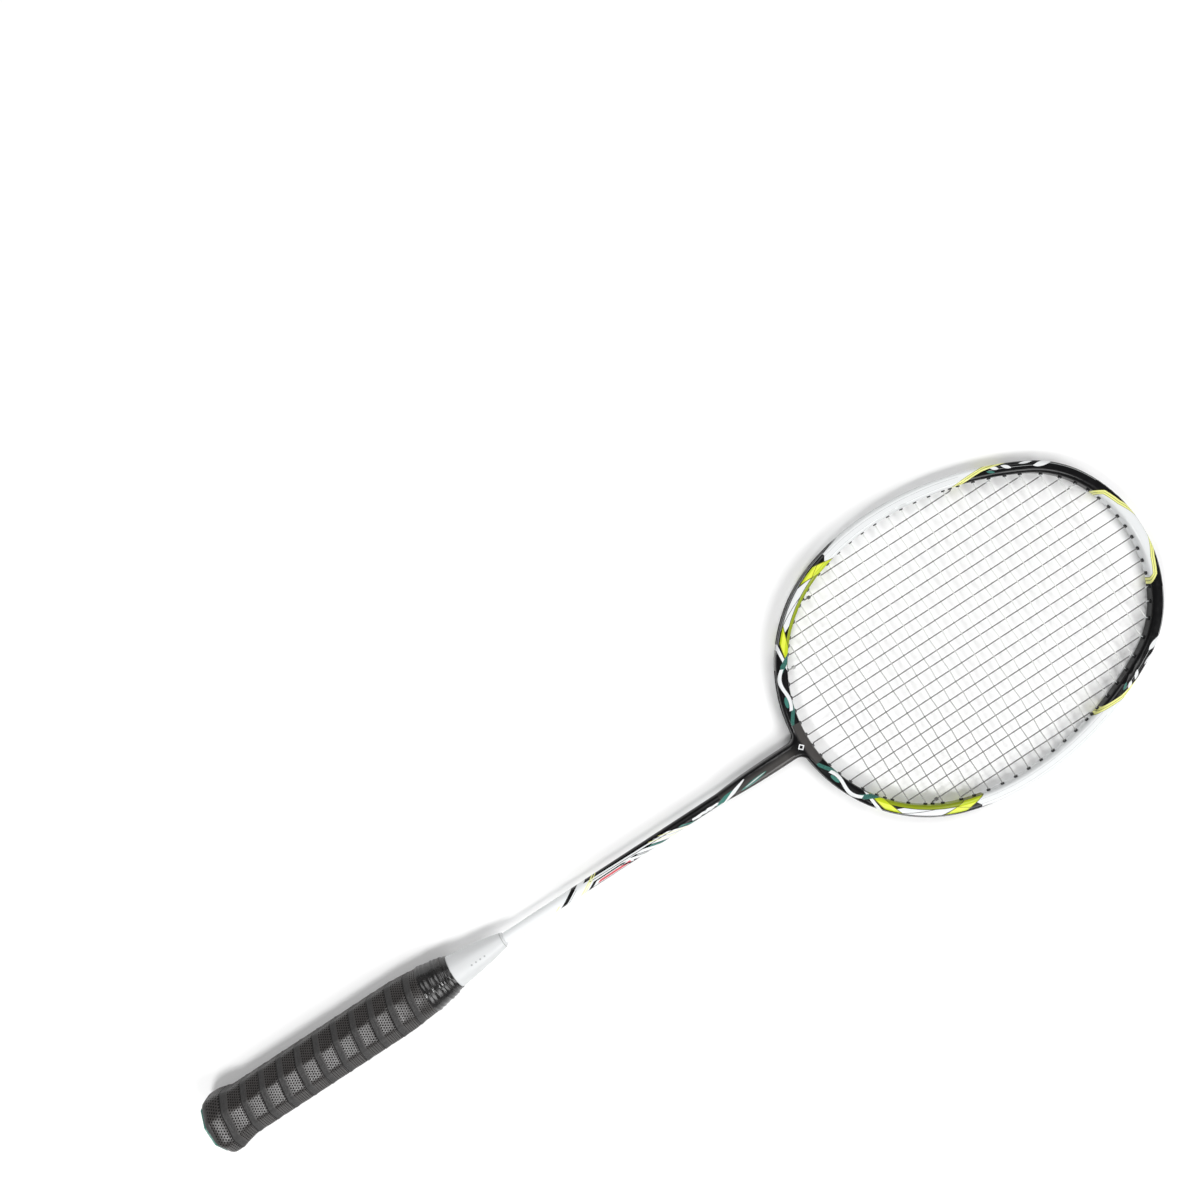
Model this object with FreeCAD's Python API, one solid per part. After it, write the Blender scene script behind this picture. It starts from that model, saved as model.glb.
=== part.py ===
import FreeCAD, Part
import math
import os
from FreeCAD import Vector

# ---------------------------------------------------------------- overall sizes
racket_length = 675.0        # butt face to the outside of the tip
head_length = 254.6          # outside of the tip to the outside of the throat
head_width = 195.6           # outside, at the widest place
widest_share = 0.444         # widest place, as a share of the head length from the throat

# ---------------------------------------------------------------- hoop
hoop_width = 7.6             # in the string plane
hoop_depth = 10.0            # across the string plane
hoop_corner = 2.6
hoop_wall = 1.0
tip_turn = 31.4              # degrees turned by the tip arc, one side
shoulder_turn = 30.5
throat_turn = 72.2
shoulder_radius_share = 0.713   # of half the head width, on the centreline
groove_width = 3.2
groove_depth = 1.6

# ---------------------------------------------------------------- neck and T insert
neck_length = 58.4           # shaft's end to the outside of the throat
neck_mid_from_start = 16.0
neck_top_from_start = 35.0
neck_mid_width = 8.7
neck_top_width = 9.7
throat_fillet = 6.0
throat_web_round = 2.4
insert_arm = 22.0            # reach to each side inside the hoop
insert_stem_diameter = 4.6
insert_stem_in_shaft = 30.0

# ---------------------------------------------------------------- shaft and cone
shaft_diameter = 7.0
shaft_wall = 1.15
shaft_in_handle = 75.0       # below the cone's foot
cone_foot = 150.0
cone_length = 56.0
cone_foot_radius = 12.6
cone_waist_from_foot = 20.0
cone_waist_radius = 10.4
cone_mid_from_foot = 39.0
cone_mid_radius = 7.9
cone_tip_radius = 4.7
cone_wall = 1.3
cone_nose = 9.0              # length of the part that grips the shaft
cone_lip = 1.2

# ---------------------------------------------------------------- handle
handle_half_x = 13.2
handle_half_z = 12.0
handle_bevel = 7.4
handle_edge = 1.1            # flat left on each softened edge of the octagon
flare = 2.3
flare_flat_end = 9.0
flare_end = 22.0
taper_start = 134.0
butt_round = 7.0             # rounding of the grip's edge at the butt
spigot_length = 10.0
spigot_radius = 10.3
cap_plate = 1.3
cap_skirt = 12.5
cap_wall = 1.3
cap_edge = 0.5
badge_radius = 9.0
badge_thickness = 0.5
badge_recess = 0.2

# ---------------------------------------------------------------- wraps
base_grip_thickness = 1.5
base_grip_foot_thickness = 1.0    # where it passes the cone's foot
base_grip_end_thickness = 0.3
base_grip_end = 163.0
base_grip_pitch = 24.0
overgrip_thickness = 0.7
overgrip_pitch = 12.7
overgrip_end = 166.5
wrap_gap = 0.3
tape_end = 170.5
tape_thickness = 0.3

# ---------------------------------------------------------------- strings and grommets
string_diameter = 0.70
string_rows = 22
main_edge = 8.4              # hoop's inner face to the outermost main
cross_edge_tip = 20.6        # hoop's inner face to the last cross, at the tip
cross_edge_throat = 21.6
barrel_diameter = 2.4
barrel_reach = 0.9           # stands out of the hoop's inner face
flange_diameter = 3.0
flange_thickness = 0.5
flange_proud = 0.2           # above the groove's floor
single_bore = 1.2
shared_bore = 1.8
bore_chamfer = 0.25
share_gap = 4.5              # a main and a cross closer than this share a hole
neck_hole_gap = 3.9          # neck's side to the first slanted hole, at the outside
mouth_rise = 0.8             # the string turns this far inside the grommet's end
bend_radius = 0.95
weave_extra = 0.12
lane = 1.12                  # mains run on one side of the groove, crosses on the other
pass_room = 1.05             # least run of a cross between its mouth and the first main
level_run = 1.2              # a cross leaves a shared hole level for this far
layer_gap = 0.85
tail_reach = 6.0
knot_turns = 3
level_from_mouth = 2.1       # main and tail are at their final heights from here
knot_bite = 0.2              # the tail ends this far before the middle of its first turn

# ---------------------------------------------------------------- fits
glue_gap = 0.05
string_gap = 0.04
wrap_clearance = 0.05

X = Vector(1, 0, 0)
Y = Vector(0, 1, 0)
Z = Vector(0, 0, 1)
ORIGIN = Vector(0, 0, 0)
string_radius = string_diameter / 2
head_base = racket_length - head_length
neck_start = head_base - neck_length
neck_mid = neck_start + neck_mid_from_start
neck_top = neck_start + neck_top_from_start
axis_top = racket_length - hoop_width / 2
axis_base = head_base + hoop_width / 2
axis_half = head_width / 2 - hoop_width / 2
axis_widest = head_base + widest_share * head_length
groove_floor = hoop_width / 2 - groove_depth
layer_height = groove_floor + flange_proud + string_radius + 0.1
mouth_depth = hoop_width / 2 + barrel_reach
bundle = string_radius + string_gap / 2
knot_from_mouth = level_from_mouth + knot_bite


# ================================================================ hoop geometry
def hoop_arcs():
    """Right half of the hoop's centreline, tip to throat: centre, radius, start and end
    heading in radians clockwise from the tip."""
    p1 = math.radians(tip_turn)
    p2 = math.radians(tip_turn + shoulder_turn)
    q = math.radians(90.0 - throat_turn)
    upper = axis_top - axis_widest
    lower = axis_widest - axis_base
    mid = shoulder_radius_share * axis_half
    side = axis_half - mid * (math.sin(p2) - math.sin(p1))
    rise = upper - mid * (math.cos(p1) - math.cos(p2))
    tip, flank = solve2(math.sin(p1), 1 - math.sin(p2), side,
                        1 - math.cos(p1), math.cos(p2), rise)
    low, base = solve2(1 - math.cos(q), math.cos(q), axis_half,
                       math.sin(q), 1 - math.sin(q), lower)
    turns = [0.0, p1, p2, math.pi / 2, math.pi / 2 + q, math.pi]
    arcs = []
    centre = Vector(0, axis_top - tip, 0)
    radius = tip
    for index, size in enumerate([tip, mid, flank, low, base]):
        start = turns[index]
        centre = centre + heading(start) * (radius - size)
        radius = size
        arcs.append((centre, radius, start, turns[index + 1]))
    return arcs


def solve2(a, b, e, c, d, f):
    det = a * d - b * c
    return (e * d - b * f) / det, (a * f - e * c) / det


def heading(turn):
    """Outward direction of the hoop at this turn from the tip."""
    return Vector(math.sin(turn), math.cos(turn), 0)


ARCS = hoop_arcs()
HALF_TRAVEL = sum(radius * (end - start) for centre, radius, start, end in ARCS)
SIDE_TRAVEL = sum(radius * (end - start) for centre, radius, start, end in ARCS[:3])


def hoop_place(travel, offset):
    """Point beside the centreline and the outward direction, at a travel from the tip."""
    done = 0.0
    for centre, radius, start, end in ARCS:
        length = radius * (end - start)
        if travel <= done + length or end == ARCS[-1][3]:
            out = heading(start + (travel - done) / radius)
            return centre + out * (radius + offset), out
        done += length


def rounded_rect(u0, u1, v0, v1, corner):
    """Closed wire in the XZ plane."""
    k = corner * (1 - math.sqrt(0.5))
    edges = []
    spots = [(u1, v0, -1, 1), (u1, v1, -1, -1), (u0, v1, 1, -1), (u0, v0, 1, 1)]
    joints = []
    for index, (u, v, du, dv) in enumerate(spots):
        along_u = Vector(u + du * corner, 0, v)
        along_v = Vector(u, 0, v + dv * corner)
        middle = Vector(u + du * k, 0, v + dv * k)
        first, last = (along_u, along_v) if index % 2 == 0 else (along_v, along_u)
        joints.append((first, middle, last))
    for index, (first, middle, last) in enumerate(joints):
        edges.append(Part.Arc(first, middle, last).toShape())
        edges.append(Part.LineSegment(last, joints[(index + 1) % 4][0]).toShape())
    return Part.Wire(edges)


def ring(section):
    """Closed hoop swept from a section face whose x is measured outward from the
    centreline."""
    pieces = []
    for index, (centre, radius, start, end) in enumerate(ARCS):
        if index == 0:
            pieces.append(turned(section, centre, radius, -end, end))
        elif index == len(ARCS) - 1:
            pieces.append(turned(section, centre, radius, start, 2 * math.pi - start))
        else:
            piece = turned(section, centre, radius, start, end)
            pieces.append(piece)
            pieces.append(piece.mirror(ORIGIN, Vector(1, 0, 0)))
    return pieces[0].multiFuse(pieces[1:])


def turned(section, centre, radius, start, end):
    out = heading(start)
    face = section.copy()
    face.rotate(ORIGIN, Z, math.degrees(math.atan2(out.y, out.x)))
    face.translate(centre + out * radius)
    return face.revolve(centre, Z, -math.degrees(end - start))


def hoop_section(inner, outer, half_depth, corner):
    return Part.Face(rounded_rect(inner, outer, -half_depth, half_depth, corner))


# ================================================================ string holes
def find_travel(value, axis, low, high, offset):
    """Travel where a point of the offset curve has this x or y."""
    rising = component(high, axis, offset) > component(low, axis, offset)
    for step in range(60):
        middle = (low + high) / 2
        if (component(middle, axis, offset) < value) == rising:
            low = middle
        else:
            high = middle
    return (low + high) / 2


def component(travel, axis, offset):
    return hoop_place(travel, offset)[0][axis]


def hole_layout():
    """Holes of the right side in order from the tip: travel, and who passes."""
    offset = -mouth_depth - mouth_rise
    columns = string_rows // 2
    inner_half = axis_half - hoop_width / 2
    main_step = 2 * (inner_half - main_edge) / (string_rows - 1)
    low_y = axis_base + hoop_width / 2 + cross_edge_throat
    high_y = axis_top - hoop_width / 2 - cross_edge_tip
    cross_step = (high_y - low_y) / (string_rows - 1)
    spots = []
    for k in range(columns):
        x = main_step * (k + 0.5)
        spots.append([find_travel(x, 0, 0.0, SIDE_TRAVEL, offset), ["top%d" % k]])
        spots.append([find_travel(x, 0, SIDE_TRAVEL, HALF_TRAVEL, offset), ["base%d" % k]])
    for j in range(string_rows):
        y = low_y + cross_step * j
        spots.append([find_travel(y, 1, 0.0, HALF_TRAVEL, offset), ["cross%d" % j]])
    spots.sort()
    holes = []
    for travel, users in spots:
        free = holes and len(holes[-1][1]) == 1
        mixed = free and (users[0][:5] == "cross") != (holes[-1][1][0][:5] == "cross")
        if mixed and crowded(holes[-1][0], travel, offset):
            holes[-1][0] = (holes[-1][0] + travel) / 2
            holes[-1][1] += users
        else:
            holes.append([travel, users])
    return holes


def crowded(first, second, offset):
    """A main's hole and a cross's hole so close that the two strings share one."""
    apart = second - first
    beside = min(abs(component(first, axis, offset) - component(second, axis, offset))
                 for axis in (0, 1))
    return apart < share_gap or (apart < 2 * share_gap and beside < pass_room)


def make_hole(travel, users, side):
    """Inner and outer ends of a hole's axis on the hoop's two faces."""
    inner, out = hoop_place(travel, -hoop_width / 2)
    outer = hoop_place(travel, hoop_width / 2)[0]
    first_x = neck_top_width / 2 + neck_hole_gap
    slanted = users[0] == "base0"
    if slanted:
        away = find_travel(first_x, 0, SIDE_TRAVEL, HALF_TRAVEL, hoop_width / 2)
        outer = hoop_place(away, hoop_width / 2)[0]
        travel = away
    if side < 0:
        inner = Vector(-inner.x, inner.y, 0)
        outer = Vector(-outer.x, outer.y, 0)
    axis = (outer - inner).normalize()
    normal = Vector(out.x * side, out.y, 0)
    return {"inner": inner, "outer": outer, "axis": axis, "lean": axis.dot(normal),
            "travel": travel, "side": side, "users": list(users), "slanted": slanted}


def all_holes():
    layout = hole_layout()
    holes = []
    for side in (1, -1):
        for travel, users in layout:
            holes.append(make_hole(travel, users, side))
    return holes


def along(hole, level, z):
    """Point on a hole's axis at a level measured outward from the centreline."""
    reach = (level + hoop_width / 2) / hole["lean"]
    spot = hole["inner"] + hole["axis"] * reach
    return Vector(spot.x, spot.y, z)


def find_hole(holes, side, user):
    return [hole for hole in holes if hole["side"] == side and user in hole["users"]][0]


def tie_hole(holes, side, start, step):
    """Nearest hole used by one main only, far enough from the string's last hole."""
    row = [hole for hole in holes if hole["side"] == side and len(hole["users"]) == 1]
    row = [hole for hole in row if hole["users"][0][:5] != "cross"]
    row = [hole for hole in row if (hole["travel"] - start["travel"]) * step > tail_reach]
    nearest = min(row, key=lambda hole: abs(hole["travel"] - start["travel"]))
    nearest["users"].append("tail")
    return nearest


# ================================================================ string paths
def groove_spot(side, travel, level, z):
    point = hoop_place(abs(travel), level)[0]
    if (travel < 0) != (side < 0):
        point = Vector(-point.x, point.y, 0)
    return Vector(point.x, point.y, z)


def groove_run(side, start, end, level, z):
    """Points along the groove between two travels on one side; a negative travel is
    past the tip on the other side."""
    count = max(1, int(math.ceil(abs(end - start) / 4.0)))
    steps = [start + (end - start) * k / count for k in range(count + 1)]
    return [groove_spot(side, travel, level, z) for travel in steps]


def bore_height(hole, is_main):
    """Height of a string in its bore: shared bores hold two strings side by side."""
    if len(hole["users"]) == 1:
        return 0.0
    return -bundle if is_main else bundle


def bridge(first, second, is_main, across):
    """Corner points of a loop from one hole to the next along the groove."""
    z = -lane if is_main else lane
    start = first["travel"]
    end = -second["travel"] if across else second["travel"]
    ease = 2.0 if end > start else -2.0
    points = [along(first, layer_height, bore_height(first, is_main))]
    points += groove_run(first["side"], start + ease, end - ease, layer_height, z)
    points.append(along(second, layer_height, bore_height(second, is_main)))
    return points


def tail(hole, tie, is_main):
    """Corner points from a string's last hole to its tie-off, knot side last."""
    ease = 1.3 if tie["travel"] > hole["travel"] else -1.3
    z = bore_height(hole, is_main)
    high = layer_height + layer_gap
    start = hole["travel"]
    end = tie["travel"]
    points = [along(hole, layer_height, z)]
    points.append(groove_spot(hole["side"], start + ease, high, z))
    points += groove_run(hole["side"], start + 2.6 * ease, end - 0.6 * ease, high, bundle)
    points.append(along(tie, high, bundle))
    points.append(along(tie, -mouth_depth - mouth_rise, bundle))
    return points


def knot_axis(tie, partner):
    """Foot and direction of the main string a tail is tied to, inside the mouth."""
    foot = along(tie, -mouth_depth - mouth_rise, 0.0)
    far = along(partner, -mouth_depth - mouth_rise, 0.0)
    return foot, (far - foot).normalize()


def level_points(first, second, is_main):
    """The run of one main across the bed, level between the mouths."""
    depth = -mouth_depth - mouth_rise
    start = along(first, depth, bore_height(first, is_main))
    end = along(second, depth, bore_height(second, is_main))
    line = Vector(end.x - start.x, end.y - start.y, 0).normalize()
    points = [start]
    if len(first["users"]) > 1:
        points.append(Vector(start.x, start.y, 0) + line * level_from_mouth)
    if len(second["users"]) > 1:
        points.append(Vector(end.x, end.y, 0) - line * level_from_mouth)
    points.append(end)
    return points


def crossings(start, end, mains):
    """Places along one cross where it meets the mains, clear of every mouth."""
    found = []
    for index, (low, high) in enumerate(mains):
        run = end - start
        rise = high - low
        det = run.x * rise.y - run.y * rise.x
        gap = low - start
        t = (gap.x * rise.y - gap.y * rise.x) / det
        u = (gap.x * run.y - gap.y * run.x) / det
        room = min(t, 1 - t) * run.Length
        reach = min(u, 1 - u) * rise.Length
        if room > pass_room / 2 and reach > pass_room / 2:
            found.append((t, index))
    return sorted(found)


def weave_points(first, second, mains, row):
    """Corner points of one cross over and under the mains."""
    depth = -mouth_depth - mouth_rise
    start = along(first, depth, bore_height(first, False))
    end = along(second, depth, bore_height(second, False))
    flat_start = Vector(start.x, start.y, 0)
    flat_end = Vector(end.x, end.y, 0)
    height = string_diameter + string_gap + weave_extra
    points = []
    for t, index in crossings(flat_start, flat_end, mains):
        spot = flat_start + (flat_end - flat_start) * t
        sign = 1 if (index + row) % 2 == 0 else -1
        points.append(Vector(spot.x, spot.y, sign * height))
    return mouth_points(start, points[0], first) + points + \
        list(reversed(mouth_points(end, points[-1], second)))


def mouth_points(mouth, crest, hole):
    """A cross at its mouth: level beside a main in a shared hole; where a main crosses
    close by, already raised as far as the bore lets it."""
    if len(hole["users"]) > 1:
        inward = Vector(crest.x - mouth.x, crest.y - mouth.y, 0).normalize()
        return [mouth, mouth + inward * level_run]
    lift = single_bore / 2 - string_radius - string_gap
    close = Vector(crest.x - mouth.x, crest.y - mouth.y, 0).Length < 2 * pass_room
    return [Vector(mouth.x, mouth.y, math.copysign(lift, crest.z))] if close else [mouth]


def rounded_path(points, radius, crest):
    """Straight runs joined by tangent arcs. Corners that lie off the string plane keep
    their inside within the crest allowance."""
    edges = []
    last = points[0]
    for index in range(1, len(points) - 1):
        corner = points[index]
        back = points[index - 1] - corner
        ahead = points[index + 1] - corner
        half = (math.pi - back.getAngle(ahead)) / 2
        if half < 1e-4:
            continue
        allowed = 0.45 * min(back.Length, ahead.Length) / math.tan(half)
        size = min(radius if half > 0.35 else crest / (1 / math.cos(half) - 1), allowed)
        cut = size * math.tan(half)
        back.normalize()
        ahead.normalize()
        first = corner + back * cut
        final = corner + ahead * cut
        inward = (back + ahead).normalize()
        middle = corner + inward * (size / math.cos(half) - size)
        edges.append(Part.LineSegment(last, first).toShape())
        edges.append(Part.Arc(first, middle, final).toShape())
        last = final
    edges.append(Part.LineSegment(last, points[-1]).toShape())
    return Part.Wire(edges)


def tube(points, crest):
    path = rounded_path(points, bend_radius, crest)
    profile = Part.Circle(points[0], points[1] - points[0], string_radius).toShape()
    return path.makePipe(Part.Face(Part.Wire(profile)))


def main_lines(holes):
    """Straight plan lines of all mains, left to right, bottom end and top end."""
    lines = []
    depth = -mouth_depth - mouth_rise
    for side, order in ((-1, range(string_rows // 2 - 1, -1, -1)),
                        (1, range(string_rows // 2))):
        for k in order:
            low = along(find_hole(holes, side, "base%d" % k), depth, 0.0)
            high = along(find_hole(holes, side, "top%d" % k), depth, 0.0)
            lines.append((low, high))
    return lines


def main_string(holes, ties):
    """One length: half from the tip's middle loop to each side."""
    columns = string_rows // 2
    chains = {}
    for side in (-1, 1):
        chain = []
        for k in range(columns):
            top = find_hole(holes, side, "top%d" % k)
            base = find_hole(holes, side, "base%d" % k)
            first, second = (top, base) if k % 2 == 0 else (base, top)
            chain += level_points(first, second, True)
            if k < columns - 1:
                place = "base%d" if k % 2 == 0 else "top%d"
                following = find_hole(holes, side, place % (k + 1))
                chain += bridge(second, following, True, False)
        chains[side] = chain + tail(second, ties["main", side][0], True)
    middle = bridge(find_hole(holes, -1, "top0"), find_hole(holes, 1, "top0"), True, True)
    string = tube(list(reversed(chains[-1])) + middle + chains[1], weave_extra)
    knots = [knot(ties["main", side]) for side in (-1, 1)]
    return string.multiFuse(knots)


def cross_string(holes, ties):
    """One length, woven row by row from the throat to the tip."""
    mains = main_lines(holes)
    first = find_hole(holes, -1, "cross0")
    points = list(reversed(tail(first, ties["low"][0], False)))
    for row in range(string_rows):
        side = -1 if row % 2 == 0 else 1
        begin = find_hole(holes, side, "cross%d" % row)
        end = find_hole(holes, -side, "cross%d" % row)
        points += weave_points(begin, end, mains, row)
        if row < string_rows - 1:
            following = find_hole(holes, -side, "cross%d" % (row + 1))
            points += bridge(end, following, False, False)
    points += tail(end, ties["high"][0], False)
    string = tube(points, weave_extra)
    return string.multiFuse([knot(ties["low"]), knot(ties["high"])])


def knot(tie_pair):
    """Turns of a tail around the main it is tied to, with the short run leading in."""
    tie, partner = tie_pair
    foot, line = knot_axis(tie, partner)
    ring_radius = string_diameter + string_gap
    step = 0.94 * string_diameter
    start = along(tie, -mouth_depth - mouth_rise, bundle)
    landing = foot + line * level_from_mouth + Z * ring_radius
    lead = landing - start
    pieces = [Part.makeCylinder(string_radius, lead.Length, start, lead),
              Part.makeSphere(string_radius, start)]
    for turn in range(knot_turns):
        centre = foot + line * (knot_from_mouth + step * turn)
        pieces.append(Part.makeTorus(ring_radius, string_radius, centre, line))
    return pieces[0].multiFuse(pieces[1:])


def tie_offs(holes):
    """Which hole each loose end comes back through, and that main's other hole."""
    ties = {}
    last = string_rows // 2 - 1
    for side in (-1, 1):
        start = find_hole(holes, side, "base%d" % last)
        ties["main", side] = tie_hole(holes, side, start, 1)
    ties["low"] = tie_hole(holes, -1, find_hole(holes, -1, "cross0"), 1)
    top_row = find_hole(holes, -1, "cross%d" % (string_rows - 1))
    ties["high"] = tie_hole(holes, -1, top_row, -1)
    pairs = {}
    for name, tie in ties.items():
        user = tie["users"][0]
        other = user.replace("base", "top") if "base" in user else user.replace("top", "base")
        pairs[name] = (tie, find_hole(holes, tie["side"], other))
    return pairs


# ================================================================ grommets
def bore_of(hole):
    return single_bore if len(hole["users"]) == 1 else shared_bore


def grommet(hole):
    """Barrel through the hoop with a flange on the groove's floor."""
    stretch = 1 / hole["lean"]
    top = (groove_floor + flange_proud + hoop_width / 2) * stretch - hoop_width / 2
    bottom = -mouth_depth
    bore = bore_of(hole)
    body = Part.makeCylinder(barrel_diameter / 2, top - bottom, Vector(bottom, 0, 0), X)
    flange = Part.makeCylinder(flange_diameter / 2, flange_thickness,
                               Vector(top - flange_thickness, 0, 0), X)
    drill = Part.makeCylinder(bore / 2, top - bottom + 2, Vector(bottom - 1, 0, 0), X)
    wide = bore / 2 + bore_chamfer
    lead_in = Part.makeCone(wide, bore / 2, bore_chamfer, Vector(bottom, 0, 0), X)
    lead_out = Part.makeCone(bore / 2, wide, bore_chamfer,
                             Vector(top - bore_chamfer, 0, 0), X)
    solid = body.fuse(flange).cut(Part.makeCompound([drill, lead_in, lead_out]))
    return placed(solid.removeSplitter(), hole)


def placed(shape, hole):
    shape = shape.copy()
    shape.rotate(ORIGIN, Z, math.degrees(math.atan2(hole["axis"].y, hole["axis"].x)))
    shape.translate(hole["inner"] + hole["axis"] * (hoop_width / 2))
    return shape


def hole_cutter(hole):
    """Room for one grommet: barrel bore, and a seat for its flange open outward."""
    stretch = 1 / hole["lean"]
    top = (groove_floor + flange_proud + hoop_width / 2) * stretch - hoop_width / 2
    seat = top - flange_thickness - glue_gap
    drill = Part.makeCylinder(barrel_diameter / 2 + glue_gap, seat + mouth_depth + 0.5,
                              Vector(-mouth_depth, 0, 0), X)
    room = Part.makeCylinder(flange_diameter / 2 + glue_gap, flange_thickness + 1.2,
                             Vector(seat, 0, 0), X)
    return placed(drill.fuse(room), hole)


# ================================================================ hoop, neck and insert
def neck_body(grow):
    """Neck from the shaft's end into the hoop; grow is added all round."""
    stations = [(neck_start, shaft_diameter, shaft_diameter),
                (neck_mid, neck_mid_width, neck_mid_width),
                (neck_top, neck_top_width, neck_top_width),
                (axis_base, neck_top_width, hoop_depth)]
    wires = []
    for y, width, depth in stations:
        half_x = width / 2 + grow
        half_z = depth / 2 + grow
        corner = 0.98 * half_x if y == neck_start else 0.55 * half_x
        wire = rounded_rect(-half_x, half_x, -half_z, half_z, corner)
        wire.translate(Vector(0, y, 0))
        wires.append(wire)
    return Part.makeLoft(wires, True, False)


def throat_webs():
    """Concave fillets between the neck and the hoop."""
    half = neck_top_width / 2
    centre, radius = ARCS[-1][0], ARCS[-1][1]
    reach = radius + hoop_width / 2 + throat_fillet
    low = centre.y - math.sqrt(reach ** 2 - (half + throat_fillet) ** 2)
    width = half + throat_fillet
    block = Part.makeBox(2 * width, axis_base - low, hoop_depth,
                         Vector(-width, low, -hoop_depth / 2))
    for side in (-1, 1):
        block = block.cut(Part.makeCylinder(throat_fillet, hoop_depth,
                                            Vector(side * width, low, -hoop_depth / 2), Z))
    rims = [edge for edge in block.Edges if is_web_rim(edge)]
    return block.makeFillet(throat_web_round, rims)


def is_web_rim(edge):
    flat = edge.BoundBox.ZLength < 1e-6
    return flat and isinstance(edge.Curve, Part.Circle)


def hoop_frame(holes):
    shell = ring(hoop_section(-hoop_width / 2, hoop_width / 2, hoop_depth / 2, hoop_corner))
    body = shell.multiFuse([neck_body(0.0), throat_webs()])
    groove = ring(hoop_section(groove_floor, hoop_width / 2 + 14.0, groove_width / 2, 0.5))
    guard = neck_top_width / 2 + 1.6
    plug = Part.makeBox(2 * guard, 40.0, hoop_depth + 2,
                        Vector(-guard, head_base - 30.0, -hoop_depth / 2 - 1))
    body = body.cut(groove.cut(plug))
    body = body.cut(cavity(0.0))
    bore = insert_stem_diameter / 2 + glue_gap
    body = body.cut(Part.makeCylinder(bore, axis_base - neck_start + 1.0,
                                      Vector(0, neck_start - 1.0, 0), Y))
    cutters = Part.makeCompound([hole_cutter(hole) for hole in holes])
    return body.cut(cutters)


def cavity(shrink):
    section = hoop_section(-hoop_width / 2 + hoop_wall + shrink,
                           groove_floor - hoop_wall - shrink,
                           hoop_depth / 2 - hoop_wall - shrink, 1.2)
    return ring(section)


def t_insert(holes):
    """Crossbar inside the hoop and stem down the neck into the shaft."""
    bar = cavity(glue_gap)
    window = Part.makeBox(2 * insert_arm, 30.0, hoop_depth,
                          Vector(-insert_arm, axis_base - 10.0, -hoop_depth / 2))
    bar = bar.common(window)
    foot = neck_start - insert_stem_in_shaft
    stem = Part.makeCylinder(insert_stem_diameter / 2, axis_base - foot,
                             Vector(0, foot, 0), Y)
    body = bar.fuse(stem)
    near = [hole for hole in holes if abs(hole["outer"].x) < insert_arm + 4.0
            and hole["outer"].y < axis_widest]
    return body.cut(Part.makeCompound([hole_cutter(hole) for hole in near]))


# ================================================================ shaft, cone, handle
def shaft():
    foot = cone_foot - shaft_in_handle
    length = neck_start - foot
    bore = insert_stem_diameter / 2 + glue_gap
    outer = Part.makeCylinder(shaft_diameter / 2, length, Vector(0, foot, 0), Y)
    return outer.cut(Part.makeCylinder(bore, length, Vector(0, foot, 0), Y))


def cone():
    """Hollow shroud: its skirt fits over the handle's spigot, its nose on the shaft."""
    tip = cone_foot + cone_length
    bore = shaft_diameter / 2 + glue_gap
    skirt = spigot_radius + glue_gap
    outside = [(cone_foot_radius, cone_foot),
               (cone_waist_radius, cone_foot + cone_waist_from_foot),
               (cone_mid_radius, cone_foot + cone_mid_from_foot),
               (cone_tip_radius, tip - cone_lip)]
    curve = Part.BSplineCurve()
    curve.interpolate([Vector(r, y, 0) for r, y in outside])
    lip = [Vector(cone_tip_radius, tip - cone_lip, 0),
           Vector(cone_tip_radius - 0.35, tip - cone_lip, 0),
           Vector(cone_tip_radius - 0.35, tip, 0), Vector(bore, tip, 0),
           Vector(bore, tip - cone_nose, 0),
           Vector(cone_tip_radius, tip - cone_nose - 3.0, 0),
           Vector(cone_mid_radius - cone_wall, cone_foot + cone_mid_from_foot, 0),
           Vector(cone_waist_radius - cone_wall - 0.6, cone_foot + cone_waist_from_foot, 0),
           Vector(skirt, cone_foot + spigot_length + 0.3, 0), Vector(skirt, cone_foot, 0),
           Vector(cone_foot_radius, cone_foot, 0)]
    edges = [curve.toShape()] + [Part.LineSegment(a, b).toShape()
                                 for a, b in zip(lip, lip[1:])]
    return Part.Face(Part.Wire(edges)).revolve(ORIGIN, Y, 360)


def octagon(y, half_x, half_z, bevel, offset):
    """Corners of the handle's section with softened edges, grown by an offset."""
    hx = half_x + offset
    hz = half_z + offset
    cut = bevel + offset * (2 - math.sqrt(2))
    sharp = [(hx, hz - cut), (hx - cut, hz), (-hx + cut, hz), (-hx, hz - cut),
             (-hx, -hz + cut), (-hx + cut, -hz), (hx - cut, -hz), (hx, -hz + cut)]
    points = []
    for index, (x, z) in enumerate(sharp):
        before = Vector(*sharp[index - 1], 0)
        after = Vector(*sharp[(index + 1) % 8], 0)
        here = Vector(x, z, 0)
        for other in (before, after):
            soft = here + (other - here).normalize() * (handle_edge / 2)
            points.append(Vector(soft.x, y, soft.y))
    return points


def round_section(y, radius):
    """Sixteen corners whose flats touch a circle, matched to octagon()'s order."""
    reach = radius / math.cos(math.pi / 16)
    points = []
    for k in range(16):
        turn = math.pi / 16 + k * math.pi / 8
        points.append(Vector(reach * math.cos(turn), y, reach * math.sin(turn)))
    return points


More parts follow.
